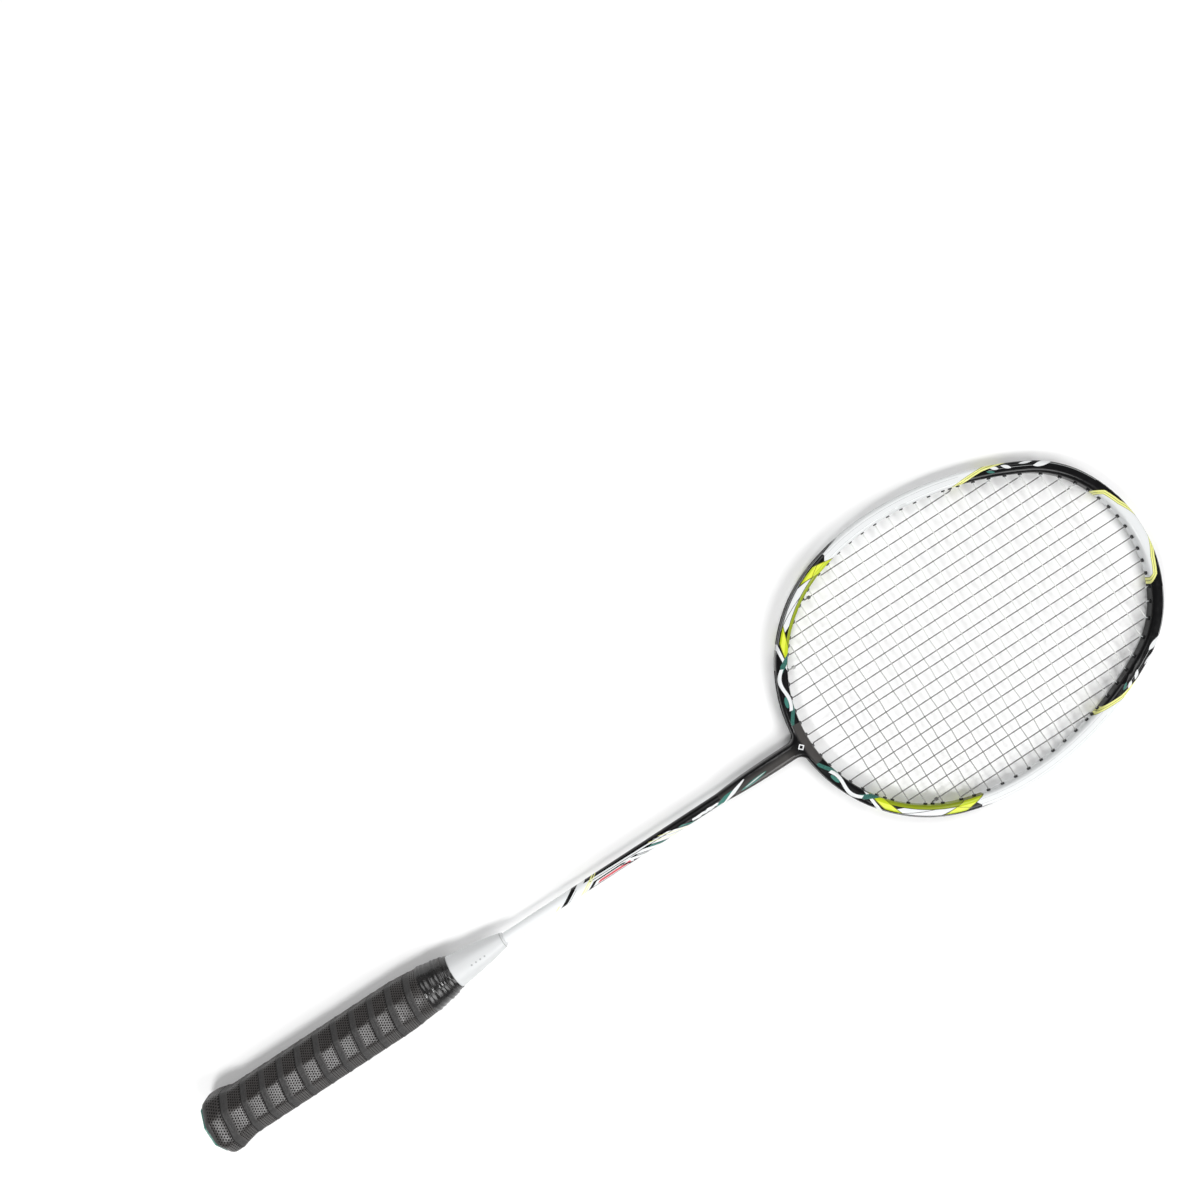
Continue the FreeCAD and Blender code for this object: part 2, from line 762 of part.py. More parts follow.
def handle_section(y, offset):
    """Section of the surface under the grips at a height above the butt."""
    if y >= cone_foot:
        run = (y - cone_foot) / cone_waist_from_foot
        radius = cone_foot_radius + (cone_waist_radius - cone_foot_radius) * run
        return round_section(y, radius + offset)
    swell = flare * min(1.0, max(0.0, (flare_end - y) / (flare_end - flare_flat_end)))
    if y < butt_round:
        swell -= butt_round - math.sqrt(butt_round ** 2 - (butt_round - y) ** 2)
    if y <= taper_start:
        return octagon(y, handle_half_x + swell, handle_half_z + swell, handle_bevel, offset)
    run = (y - taper_start) / (cone_foot - taper_start)
    wide = octagon(y, handle_half_x, handle_half_z, handle_bevel, offset)
    narrow = round_section(y, cone_foot_radius + offset)
    return [a * (1 - run) + b * run for a, b in zip(wide, narrow)]


def sleeve(stations):
    """Solid through sections given as (y, offset), straight between them."""
    wires = []
    for y, offset in stations:
        points = handle_section(y, offset)
        wires.append(Part.makePolygon(points + points[:1]))
    return Part.makeLoft(wires, True, True)


def butt_stations(start, offset):
    """Stations over the rounded end and the flare, up to where the flare begins to
    narrow."""
    steps = [start, 2 * start, 0.5 * butt_round, 0.75 * butt_round, butt_round]
    return [(y, offset) for y in steps + [flare_flat_end]]


def handle_core():
    """Wooden octagon with the flare, a spigot for the cone and a bore for the shaft."""
    inset = -cap_wall - glue_gap
    skirt_top = cap_plate + cap_skirt + glue_gap
    lower = sleeve(butt_stations(cap_plate + glue_gap, inset) + [(skirt_top, inset)])
    upper = sleeve([(skirt_top, 0.0), (flare_end, 0.0), (taper_start, 0.0),
                    (cone_foot - glue_gap, 0.0)])
    spigot = Part.makeCylinder(spigot_radius, spigot_length + 1.0,
                               Vector(0, cone_foot - 1.0, 0), Y)
    body = lower.multiFuse([upper, spigot])
    depth = shaft_in_handle + glue_gap
    bore = Part.makeCylinder(shaft_diameter / 2 + glue_gap, depth + spigot_length + 1.0,
                             Vector(0, cone_foot - depth, 0), Y)
    return body.cut(bore)


def butt_cap():
    """Plastic cup over the handle's end with a lip the grips stop against."""
    lip = base_grip_thickness + overgrip_thickness
    rim = handle_section(cap_plate, lip)
    face = handle_section(cap_plate, lip - cap_edge)
    wires = []
    for y, points in ((0.0, face), (cap_edge, rim), (cap_plate, rim)):
        level = [Vector(point.x, y, point.z) for point in points]
        wires.append(Part.makePolygon(level + level[:1]))
    plate = Part.makeLoft(wires, True, True)
    top = cap_plate + cap_skirt
    skirt = sleeve(butt_stations(cap_plate, 0.0) + [(top, 0.0)])
    hollow = sleeve(butt_stations(cap_plate, -cap_wall) + [(top, -cap_wall)])
    body = plate.fuse(skirt).cut(hollow)
    recess = Part.makeCylinder(badge_radius + glue_gap, badge_recess + glue_gap,
                               ORIGIN, Y)
    return body.cut(recess)


def butt_badge():
    top = badge_recess
    disc = Part.makeCylinder(badge_radius, badge_thickness,
                             Vector(0, top - badge_thickness, 0), Y)
    rim = [edge for edge in disc.Edges if isinstance(edge.Curve, Part.Circle)
           and edge.CenterOfMass.y < 0]
    return disc.makeFillet(0.2, rim)


def perimeter(points):
    ring_points = points + points[:1]
    return sum((b - a).Length for a, b in zip(ring_points, ring_points[1:]))


def wrapped(outer, inner, pitch, start, end, middle):
    """A sleeve slit along a helix, so that it is one long wound strip."""
    corners = handle_section(taper_start, middle)
    around = perimeter(corners)
    blades = []
    count = len(corners)
    y = start - pitch
    station = 0
    while y < end:
        a = corners[station % count]
        b = corners[(station + 1) % count]
        climb = pitch * (b - a).Length / around
        blades.append(blade(a, b, y, climb))
        y += climb
        station += 1
    slit = blades[0].multiFuse(blades[1:])
    return sleeve(outer).cut(sleeve(inner)).cut(slit)


def blade(a, b, y, climb):
    """Thin slanted block over one flat of the section, reaching both corners."""
    reach = 6.0
    low = Vector(a.x, y, a.z)
    high = Vector(b.x, y + climb, b.z)
    run = Vector(b.x - a.x, 0, b.z - a.z).normalize()
    points = []
    for spot in (low, high):
        radial = Vector(spot.x, 0, spot.z).normalize()
        for level in (-reach, reach):
            for half in (-wrap_gap / 2, wrap_gap / 2):
                points.append(spot + radial * level + Y * half)
    return hexahedron(points)


def hexahedron(p):
    """Solid from eight corners: two quads in the same order."""
    quads = [(0, 1, 3, 2), (4, 5, 7, 6), (0, 1, 5, 4), (2, 3, 7, 6), (0, 2, 6, 4),
             (1, 3, 7, 5)]
    faces = []
    for quad in quads:
        a, b, c, d = [p[k] for k in quad]
        faces.append(Part.Face(Part.makePolygon([a, b, c, a])))
        faces.append(Part.Face(Part.makePolygon([a, c, d, a])))
    return Part.Solid(Part.makeShell(faces))


def base_grip():
    start = cap_plate + wrap_clearance
    gap = wrap_clearance
    thick = base_grip_thickness
    outer = butt_stations(start, thick)
    outer += [(flare_end, thick), (taper_start, thick),
              (cone_foot, base_grip_foot_thickness),
              (base_grip_end, base_grip_end_thickness)]
    inner = [(y, gap) for y, offset in outer]
    return wrapped(outer, inner, base_grip_pitch, start, base_grip_end, thick / 2)


def overgrip():
    start = cap_plate + wrap_clearance
    gap = wrap_clearance
    low = base_grip_thickness + gap
    body = overgrip_thickness
    inner = butt_stations(start, low)
    inner += [(flare_end, low), (taper_start, low),
              (cone_foot, base_grip_foot_thickness + gap),
              (base_grip_end + gap, base_grip_end_thickness + gap), (overgrip_end, gap)]
    outer = [(y, offset + body) for y, offset in inner]
    return wrapped(outer, inner, overgrip_pitch, start, overgrip_end, low + body / 2)


def finishing_tape():
    """Two turns of tape over the overgrip's end and down onto the cone."""
    over = overgrip_thickness + 2 * wrap_clearance
    inner = [(cone_foot, base_grip_foot_thickness + over),
             (base_grip_end + wrap_clearance, base_grip_end_thickness + over),
             (overgrip_end + wrap_clearance, over), (tape_end, wrap_clearance)]
    outer = [(y, offset + tape_thickness) for y, offset in inner]
    return sleeve(outer).cut(sleeve(inner))


# ================================================================ build
def save(name, shape):
    shape.exportStep("parts/%s.step" % name)
    print(name, "solids", len(shape.Solids), "faces", len(shape.Faces),
          "volume %.1f" % shape.Volume, "valid", shape.isValid())


def main():
    os.makedirs("parts", exist_ok=True)
    holes = all_holes()
    ties = tie_offs(holes)
    plain = [hole for hole in holes if len(hole["users"]) == 1 and not hole["slanted"]]
    shared = [hole for hole in holes if len(hole["users"]) > 1 and not hole["slanted"]]
    slanted = [hole for hole in holes if hole["slanted"]]
    save("grommets_single", Part.makeCompound([grommet(hole) for hole in plain]))
    save("grommets_shared", Part.makeCompound([grommet(hole) for hole in shared]))
    save("grommets_throat", Part.makeCompound([grommet(hole) for hole in slanted]))
    save("butt_cap", butt_cap())
    save("butt_badge", butt_badge())
    save("handle_core", handle_core())
    save("cone", cone())
    save("shaft", shaft())
    save("t_insert", t_insert(holes))
    save("base_grip", base_grip())
    save("overgrip", overgrip())
    save("finishing_tape", finishing_tape())
    save("hoop_frame", hoop_frame(holes))
    save("main_string", main_string(holes, ties))
    save("cross_string", cross_string(holes, ties))


main()
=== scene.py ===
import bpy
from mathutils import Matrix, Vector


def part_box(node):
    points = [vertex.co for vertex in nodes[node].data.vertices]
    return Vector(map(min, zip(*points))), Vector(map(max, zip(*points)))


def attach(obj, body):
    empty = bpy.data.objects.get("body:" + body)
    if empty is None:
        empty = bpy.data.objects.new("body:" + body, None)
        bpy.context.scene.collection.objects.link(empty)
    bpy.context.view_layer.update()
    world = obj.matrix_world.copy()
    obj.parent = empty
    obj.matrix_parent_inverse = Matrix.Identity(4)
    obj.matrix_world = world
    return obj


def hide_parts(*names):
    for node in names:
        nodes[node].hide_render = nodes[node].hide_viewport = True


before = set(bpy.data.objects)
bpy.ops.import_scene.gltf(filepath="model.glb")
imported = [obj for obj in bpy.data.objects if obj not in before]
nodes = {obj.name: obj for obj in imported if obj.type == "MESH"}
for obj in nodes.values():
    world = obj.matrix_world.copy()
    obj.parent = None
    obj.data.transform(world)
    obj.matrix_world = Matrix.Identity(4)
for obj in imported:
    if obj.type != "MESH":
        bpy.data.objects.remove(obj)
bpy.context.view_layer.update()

import math
import bpy
from mathutils import Matrix, Vector

MM = 0.001


# ------------------------------------------------------------ places from the CAD
def mm(box):
    return [[c / MM for c in corner] for corner in box]


hoop_lo, hoop_hi = mm(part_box("hoop_frame"))
grip_lo, grip_hi = mm(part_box("overgrip"))
tape_lo, tape_hi = mm(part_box("finishing_tape"))
cap_underside = mm(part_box("butt_cap"))[0][2]

# ------------------------------------------------------------ sizes shared with the CAD
HEAD_LENGTH = 254.6
HOOP_WIDTH = 7.6
WIDEST_SHARE = 0.444
TIP_TURN = 31.4
SHOULDER_END = 61.9
LOW_TURN = 17.8
SHOULDER_SHARE = 0.713
HUB = 548.0                 # turns round the hoop are measured about this y
MM_PER_DEGREE = 2.15        # travel along the hoop's tip in one degree about the hub
HANDLE_X, HANDLE_Z, HANDLE_BEVEL = 13.2, 12.0, 7.4
FLARE = 2.3
FLARE_START, FLARE_RUN = 22.6, 13.6
BUTT_ROUND = 7.0
BASE_GRIP = 1.5
TAPER_START, CONE_FOOT = 134.0, 150.0
FOOT_GRIP = 1.0             # base grip's thickness at the cone's foot
GRIP_THINNING = 0.0555      # and its loss per millimetre beyond
CONE_FOOT_RADIUS, CONE_SLOPE = 12.6, 0.11
BEVEL_GROWTH = 0.586        # growth of a bevel when the flats move out by one


# ------------------------------------------------------------ shader arithmetic
class Graph:
    """One material's node tree with arithmetic on sockets."""

    def __init__(self, name, roughness=0.4):
        self.material = bpy.data.materials.new(name)
        self.material.use_nodes = True
        self.tree = self.material.node_tree
        self.nodes = self.tree.nodes
        self.bsdf = self.nodes["Principled BSDF"]
        self.bsdf.inputs["Roughness"].default_value = roughness
        self.coords = self.nodes.new("ShaderNodeTexCoord")

    def put(self, socket, value):
        if isinstance(value, Field):
            self.tree.links.new(value.socket, socket)
        else:
            socket.default_value = value

    def math(self, operation, a, b=None, c=None, clamp=False):
        node = self.nodes.new("ShaderNodeMath")
        node.operation = operation
        node.use_clamp = clamp
        for index, value in enumerate((a, b, c)):
            if value is not None:
                self.put(node.inputs[index], value)
        return Field(self, node.outputs[0])

    def place(self):
        """Row-frame position in millimetres."""
        scale = self.nodes.new("ShaderNodeVectorMath")
        scale.operation = "SCALE"
        self.tree.links.new(self.coords.outputs["Object"], scale.inputs[0])
        scale.inputs["Scale"].default_value = 1 / MM
        split = self.nodes.new("ShaderNodeSeparateXYZ")
        self.tree.links.new(scale.outputs[0], split.inputs[0])
        self.vector = scale.outputs[0]
        return [Field(self, split.outputs[k]) for k in range(3)]

    def uv(self):
        split = self.nodes.new("ShaderNodeSeparateXYZ")
        self.tree.links.new(self.coords.outputs["UV"], split.inputs[0])
        self.vector = self.coords.outputs["UV"]
        return [Field(self, split.outputs[k]) for k in range(2)]

    def ramp(self, value, low, high, to_low, to_high):
        node = self.nodes.new("ShaderNodeMapRange")
        self.put(node.inputs["Value"], value)
        node.inputs["From Min"].default_value = low
        node.inputs["From Max"].default_value = high
        node.inputs["To Min"].default_value = to_low
        node.inputs["To Max"].default_value = to_high
        return Field(self, node.outputs["Result"])

    def band(self, value, low, high):
        return (value > low) * (value < high)

    def mix(self, factor, a, b):
        node = self.nodes.new("ShaderNodeMix")
        node.data_type = "RGBA"
        self.put(node.inputs[0], factor)
        self.put(node.inputs[6], a)
        self.put(node.inputs[7], b)
        return Field(self, node.outputs[2])

    def noise(self, scale, detail=3.0, stretch=None, rough=0.5):
        """Noise over the position in millimetres; scale is in cycles per millimetre."""
        node = self.nodes.new("ShaderNodeTexNoise")
        node.inputs["Scale"].default_value = scale
        node.inputs["Detail"].default_value = detail
        node.inputs["Roughness"].default_value = rough
        source = self.vector
        if stretch:
            bend = self.nodes.new("ShaderNodeVectorMath")
            bend.operation = "MULTIPLY"
            self.tree.links.new(source, bend.inputs[0])
            bend.inputs[1].default_value = stretch
            source = bend.outputs[0]
        self.tree.links.new(source, node.inputs["Vector"])
        return Field(self, node.outputs[0])

    def colour(self, value):
        self.put(self.bsdf.inputs["Base Color"], value)

    def bump(self, height, distance_mm, strength=1.0):
        node = self.nodes.new("ShaderNodeBump")
        node.inputs["Strength"].default_value = strength
        node.inputs["Distance"].default_value = distance_mm * MM
        self.put(node.inputs["Height"], height)
        self.tree.links.new(node.outputs[0], self.bsdf.inputs["Normal"])


class Field:
    """A node socket that adds, multiplies and compares."""

    def __init__(self, graph, socket):
        self.graph = graph
        self.socket = socket

    def __add__(self, other):
        return self.graph.math("ADD", self, other)

    def __sub__(self, other):
        return self.graph.math("SUBTRACT", self, other)

    def __rsub__(self, other):
        return self.graph.math("SUBTRACT", other, self)

    def __mul__(self, other):
        return self.graph.math("MULTIPLY", self, other)

    def __rmul__(self, other):
        return self.graph.math("MULTIPLY", other, self)

    def __gt__(self, other):
        return self.graph.math("GREATER_THAN", self, other)

    def __lt__(self, other):
        return self.graph.math("LESS_THAN", self, other)

    def abs(self):
        return self.graph.math("ABSOLUTE", self)

    def either(self, other):
        return self.graph.math("MAXIMUM", self, other)

    def both(self, other):
        return self.graph.math("MINIMUM", self, other)


WHITE = (0.70, 0.715, 0.72, 1)
BLACK = (0.0025, 0.0025, 0.003, 1)
GUN = (0.052, 0.049, 0.047, 1)
LIME = (0.46, 0.56, 0.012, 1)
DEEP_LIME = (0.24, 0.30, 0.008, 1)
OLIVE = (0.14, 0.15, 0.01, 1)
LEMON = (0.74, 0.75, 0.26, 1)
YELLOW = (0.68, 0.74, 0.07, 1)
TEAL = (0.045, 0.17, 0.14, 1)
GREY = (0.30, 0.31, 0.31, 1)
PALE = (0.55, 0.57, 0.57, 1)
RED = (0.55, 0.10, 0.12, 1)


# ------------------------------------------------------------ hoop coordinates
def hoop_arcs():
    """The hoop's tangent arcs from its overall sizes: centre, radius and end point."""
    half = (hoop_hi[0] - hoop_lo[0]) / 2 - HOOP_WIDTH / 2
    top = hoop_hi[1] - HOOP_WIDTH / 2
    base = hoop_hi[1] - HEAD_LENGTH + HOOP_WIDTH / 2
    wide = hoop_hi[1] - HEAD_LENGTH + WIDEST_SHARE * HEAD_LENGTH
    p1, p2 = math.radians(TIP_TURN), math.radians(SHOULDER_END)
    q = math.radians(LOW_TURN)
    mid = SHOULDER_SHARE * half
    e = half - mid * (math.sin(p2) - math.sin(p1))
    f = top - wide - mid * (math.cos(p1) - math.cos(p2))
    a, b, c, d = math.sin(p1), 1 - math.sin(p2), 1 - math.cos(p1), math.cos(p2)
    tip = (e * d - b * f) / (a * d - b * c)
    flank = (a * f - e * c) / (a * d - b * c)
    a, b, c, d = 1 - math.cos(q), math.cos(q), math.sin(q), 1 - math.sin(q)
    low = (half * d - b * (wide - base)) / (a * d - b * c)
    throat = (a * (wide - base) - half * c) / (a * d - b * c)
    turns = [0.0, p1, p2, math.pi / 2, math.pi / 2 + q, math.pi]
    x, y, radius = 0.0, top - tip, tip
    arcs = []
    for index, size in enumerate([tip, mid, flank, low, throat]):
        x += math.sin(turns[index]) * (radius - size)
        y += math.cos(turns[index]) * (radius - size)
        radius = size
        end = turns[index + 1]
        arcs.append((x, y, radius, x + radius * math.sin(end), y + radius * math.cos(end)))
    return arcs


def hoop_coordinates(g):
    """Degrees from the tip about the hub, and millimetres outward of the centreline."""
    x, y, z = g.place()
    side = x.abs()
    turn = g.math("ARCTAN2", side, y - HUB) * math.degrees(1)
    offset = None
    for cx, cy, radius, ex, ey in hoop_arcs():
        dx = side - cx
        dy = y - cy
        here = g.math("SQRT", dx * dx + dy * dy) - radius
        if offset is None:
            offset = here
        else:
            past = turn > limit
            offset = offset + past * (here - offset)
        limit = math.degrees(math.atan2(ex, ey - HUB))
    return x, y, z, turn, offset


def edge_distances(g, w, run, knots, sign):
    """Distances in mm past the straight lines of a slanted paint edge, in order."""
    found = []
    for (w0, t0), (w1, t1) in zip(knots, knots[1:]):
        slope = (t1 - t0) * MM_PER_DEGREE / (w1 - w0)
        level = (w - w0) * slope + t0 * MM_PER_DEGREE
        found.append((level - run) * (sign / math.sqrt(1 + slope * slope)))
    return found


def chevrons(g, w, turn):
    """Distance into the white from the black shoulder's tip-side and far edges."""
    run = turn * MM_PER_DEGREE
    tip_knots = [(-3.8, 17.0), (0.3, 14.6), (1.7, 9.4), (3.8, 6.4)]
    far_knots = [(-3.8, 61.5), (0.8, 54.5), (3.8, 46.0)]
    a, b, c = edge_distances(g, w, run, tip_knots, 1)
    first = a.both(b.either(c))
    a, b = edge_distances(g, w, run, far_knots, -1)
    return first, a.either(b)


def petal(w, turn, at, level, length, thick, lean):
    """A leaf-shaped stroke, its long way in degrees along the hoop."""
    along = (turn - at) * MM_PER_DEGREE
    across = w - level - along * lean
    a = along * (1.0 / length)
    b = across * (1.0 / thick)
    return (a * a + b.abs()) < 1.0


def hoop_material():
    g = Graph("hoop_paint", 0.22)
    x, y, z, turn, w = hoop_coordinates(g)
    neck = (y < 421.5) * (x.abs() < 16.0)
    first, second = chevrons(g, w, turn)
    paint = WHITE
    fine = g.band(w, 1.15, 1.3).either(g.band(w, -1.7, -1.58)) * g.band(turn, 63, 120)
    fine = fine.either(g.band(w, 2.7, 2.85) * (turn < 8.0))
    paint = g.mix(fine, paint, GREY)
    edge = first * (turn < 34.0) + second * (turn > 34.0)
    paint = g.mix(g.band(edge, 0.0, 1.2).either(g.band(edge, 1.45, 2.45)), paint, LEMON)
    paint = g.mix(g.band(edge, 1.2, 1.45).either(g.band(edge, 2.45, 2.7)), paint, OLIVE)
    black = (edge < 0.0) * g.band(turn, 5.0, 62.0)
    paint = g.mix(black, paint, BLACK)
    # grey lines over the shoulders, part pinstripe and part painted highlight along the outer
    # edge, and leaf strokes
    pinstripe_and_highlight = g.band(w, 2.3, 2.75) * g.band(turn, 18.5, 34.0)
    pinstripe_and_highlight = pinstripe_and_highlight.either(g.band(w, 0.35, 0.6) * g.band(turn, 34.5, 52))
    paint = g.mix(pinstripe_and_highlight, paint, GREY)
    leaves = petal(w, turn, 35.2, 1.9, 5.4, 1.9, -0.28)
    for at, level, length, thick, lean in ((40.3, 2.7, 4.6, 0.8, -0.10),
                                           (46.2, 1.2, 4.0, 1.0, 0.28),
                                           (50.2, 1.4, 3.6, 1.0, 0.25)):
        leaves = leaves.either(petal(w, turn, at, level, length, thick, lean))
    paint = g.mix(leaves * black, paint, WHITE)
    paint = g.mix(petal(w, turn, 51.2, -0.6, 3.4, 0.7, 0.2) * black, paint, TEAL)
    # lime blocks and the panel between them
    lean = turn + 0.75 * w
    rim = (w > g.ramp(turn, 112, 122, 3.8, 2.5)) * g.band(turn, 112, 122)
    paint = g.mix(rim, paint, BLACK)
    paint = g.mix(g.band(turn, 119.5, 174) * (lean > 120.8), paint, BLACK)
    paint = g.mix(g.band(w, 3.05, 3.3) * g.band(turn, 119, 153), paint, GREY)
    paint = g.mix(g.band(w, 2.75, 2.85) * g.band(turn, 128, 146), paint, PALE)
    paint = g.mix(g.band(turn, 122, 152) * (w < -1.45), paint, DEEP_LIME)
    panel = g.band(turn - 1.3 * w, 129.6, 146.2) * g.band(w, -1.15, 2.45)
    paint = g.mix(panel, paint, WHITE)
    cut = turn - 138.5 - 2.6 * w
    paint = g.mix(panel * g.band(cut, -0.45, 0.45), paint, BLACK)
    start, end = turn - w, turn + 1.1 * w
    block = g.band(start, 122.2, 129.6).either(g.band(end, 147.0, 152.8))
    block = block * g.band(w, -3.9, 2.5)
    core = g.band(start, 122.7, 129.0).either(g.band(end, 147.5, 152.2))
    paint = g.mix(block, paint, OLIVE)
    paint = g.mix(core * g.band(w, -3.6, 2.2), paint, LIME)
    paint = g.mix(core * g.band(w, -1.1, 1.3), paint, YELLOW)
    paint = g.mix(block * g.band(w + 0.5 * (turn - 126), -0.35, -0.05), paint, OLIVE)
    # white twist, teal and the pale S towards the throat
    twist = g.band(turn + 0.9 * w, 153.4, 155.2) * (w > -3.2)
    paint = g.mix(twist, paint, WHITE)
    teal = g.band(turn - 0.8 * w, 155.6, 158.6) * (w < 1.2)
    teal = teal.either(g.band(turn - w, 170.6, 173.2) * (w < 2.0))
    streak = g.ramp(g.noise(1.4, 2), 0.35, 0.65, 0.0, 0.55)
    paint = g.mix(teal, paint, g.mix(streak, TEAL, BLACK))
    sweep = 2.1 * g.math("SINE", (turn - 157.0) * 0.46)
    wave = g.band(w - sweep, -1.15, 1.15) * g.band(turn, 157.4, 169.6)
    paint = g.mix(wave, paint, WHITE)
    ex = (turn - 167.0) * 0.62
    oval = (ex * ex + (w - 0.4) * (w - 0.4) * 0.75) < 1.0
    paint = g.mix(oval, paint, TEAL)
    # gunmetal throat, with painted shade along its outer side and up the left of the neck
    throat = g.mix(g.ramp(w, 1.2, 2.7, 0.0, 1.0), GUN, BLACK)
    neck_with_painted_shade = g.mix(g.ramp(x, -3.4, -0.2, 0.0, 1.0), BLACK, GUN)
    throat = g.mix(g.ramp(y, 410.0, 418.0, 0.0, 1.0), neck_with_painted_shade, throat)
    paint = g.mix((turn > 173.6).either(neck), paint, throat)
    # a small plain lozenge where the throat widens
    gem = x.abs() + (y - 421.0).abs()
    paint = g.mix(g.band(gem, 1.3, 2.3) * (z.abs() > 4.0), paint, WHITE)
    # shaft pattern runs on into the neck
    paint = neck_pattern(g, x, y, paint)
    g.colour(paint)
    return lacquer(g)


def lacquer(g):
    gloss = g.noise(0.35, 3)
    g.put(g.bsdf.inputs["Roughness"], g.ramp(gloss, 0.3, 0.7, 0.15, 0.26))
    g.bsdf.inputs["Specular IOR Level"].default_value = 0.3
    g.bump(g.noise(0.9, 2), 0.02, 0.5)
    return g.material


def neck_pattern(g, x, y, paint):
    """Strokes on the neck just above the shaft's end."""
    def stroke(level, at, lean, half, low, high):
        across = (x - (y - at) * lean - level).abs()
        reach = g.ramp(y, low, (low + high) / 2, 0.0, 1.0).both(
            g.ramp(y, (low + high) / 2, high, 1.0, 0.0))
        return across < g.math("SQRT", reach) * half
    paint = g.mix(stroke(1.3, 365.0, -0.22, 1.7, 358.0, 372.0), paint, TEAL)
    paint = g.mix(stroke(0.4, 372.0, -0.34, 1.15, 363.0, 381.0), paint, WHITE)
    paint = g.mix(stroke(1.6, 385.0, -0.10, 1.1, 376.0, 395.0), paint, TEAL)
    return g.mix(stroke(1.3, 387.0, -0.10, 0.35, 379.0, 394.0), paint, PALE)


def shaft_material():
    g = Graph("shaft_paint", 0.2)
    x, y, z = g.place()
    paint = WHITE
    # black upper edge that grows towards the head, a pale gap and a fine line
    rising = y + 1.75 * x
    edge = g.ramp(y, 254.0, 345.0, -2.6, -0.9)
    paint = g.mix((rising > 260.0) * (x < edge), paint, BLACK)
    gap = x - edge
    paint = g.mix(g.band(gap, 0.85, 1.15) * g.band(y, 268.0, 330.0), paint, BLACK)
    paint = g.mix(g.band(rising, 246.4, 247.4) * (x > 1.2), paint, LEMON)
    paint = g.mix(g.band(rising, 250.2, 254.4), paint, BLACK)
    paint = g.mix(g.band(rising, 255.6, 256.3) * (x > -1.5), paint, GREY)
    paint = g.mix(g.band(rising, 264.6, 265.8).either(g.band(rising, 267.0, 267.8)),
                  paint, LEMON)
    # long dark field with a plain red bar, then shards
    field = (rising > 270.0) * (y - 3.2 * x < 292.0) * g.band(x, -0.2, 3.6) * (y < 303)
    paint = g.mix(field, paint, BLACK)
    hollow = (rising > 273.0) * (y < 298) * g.band(x, 0.55, 2.75)
    paint = g.mix(hollow, paint, WHITE)
    bar = (rising > 276.0) * (y < 296) * g.band(x, 0.95, 2.35)
    paint = g.mix(bar, paint, RED)
    for start, thick, lean, left in ((287.0, 2.6, 3.0, 0.7), (297.0, 4.2, 3.4, -0.2),
                                     (307.5, 5.4, 3.4, -0.9)):
        run = y - lean * x
        paint = g.mix(g.band(run, start, start + thick) * (x > left), paint, BLACK)
    paint = g.mix(g.band(y - 3.4 * x, 308.6, 311.6) * (x > 0.2), paint, TEAL)
    paint = g.mix(g.band(y - 3.4 * x, 298.4, 299.8) * (x > 0.6), paint, WHITE)
    for start, tone in ((317.5, LEMON), (321.0, GREY), (324.6, LEMON)):
        run = y - 3.5 * x
        paint = g.mix(g.band(run, start, start + 0.9) * (x > -2.0), paint, tone)
    dark = (y - 3.2 * x) > 328.5
    paint = g.mix(dark, paint, BLACK)
    paint = g.mix(g.band(y - 3.0 * x, 330.5, 333.5) * (x > 0.2), paint, TEAL)
    # pale flame strokes with torn edges
    torn = g.noise(0.55, 3, (1.0, 0.45, 1.0))
    flame = g.band(x + (torn - 0.5) * 3.4, 0.7, 2.3) * g.band(y, 341.0, 360.0)
    paint = g.mix(flame, paint, WHITE)
    paint = neck_pattern(g, x, y, paint)
    g.colour(paint)
    return lacquer(g)


def cone_material():
    g = Graph("cone_plastic", 0.25)
    x, y, z = g.place()
    seam = g.band(y, 204.6, 204.9)
    paint = g.mix(seam, (0.56, 0.57, 0.575, 1), GREY)
    speck = g.noise(2.0, 2)
    paint = g.mix(g.ramp(speck, 0.66, 0.72, 0.0, 0.25), paint, PALE)
    dot_y = g.math("PINGPONG", y - 181.0, 1.5)
    dot = ((dot_y - 1.5) * (dot_y - 1.5) + (x - 0.6) * (x - 0.6)) < 0.35
    dots = dot * g.band(y, 181.0, 193.0) * (z > 0)
    paint = g.mix(dots, paint, GREY)
    g.colour(paint)
    g.put(g.bsdf.inputs["Roughness"], g.ramp(g.noise(0.4, 3), 0.3, 0.7, 0.34, 0.5))
    g.bump(g.noise(1.2, 3), 0.02, 0.6)
    return g.material


def plain_material(name, low, high, roughness, scale, grain):
    """Two close tones broken up by noise, with a grain bump."""
    g = Graph(name, roughness)
    g.place()
    cloud = g.noise(scale, 4)
    g.colour(g.mix(g.ramp(cloud, 0.35, 0.65, 0.0, 1.0), low, high))
    g.put(g.bsdf.inputs["Roughness"],
          g.ramp(cloud, 0.3, 0.7, roughness - 0.06, roughness + 0.08))
    g.bump(g.noise(scale * 3.0, 3), grain, 0.7)
    return g


def wood_material():
    g = Graph("handle_wood", 0.6)
    g.place()
    grain = g.noise(0.9, 5, (1.0, 0.06, 1.0), 0.6)
    g.colour(g.mix(g.ramp(grain, 0.35, 0.65, 0.0, 1.0), (0.40, 0.24, 0.12, 1),
                   (0.62, 0.44, 0.26, 1)))
    g.bump(grain, 0.08, 0.6)
    return g.material


def paint_node(name, material):
    mesh = nodes[name].data
    slots = max(1, len(nodes[name].material_slots))
    mesh.materials.clear()
    for _ in range(slots):
        mesh.materials.append(material)


nylon = plain_material("grommet_nylon", (0.010, 0.010, 0.011, 1), (0.022, 0.022, 0.024, 1),
                       0.42, 1.5, 0.02).material


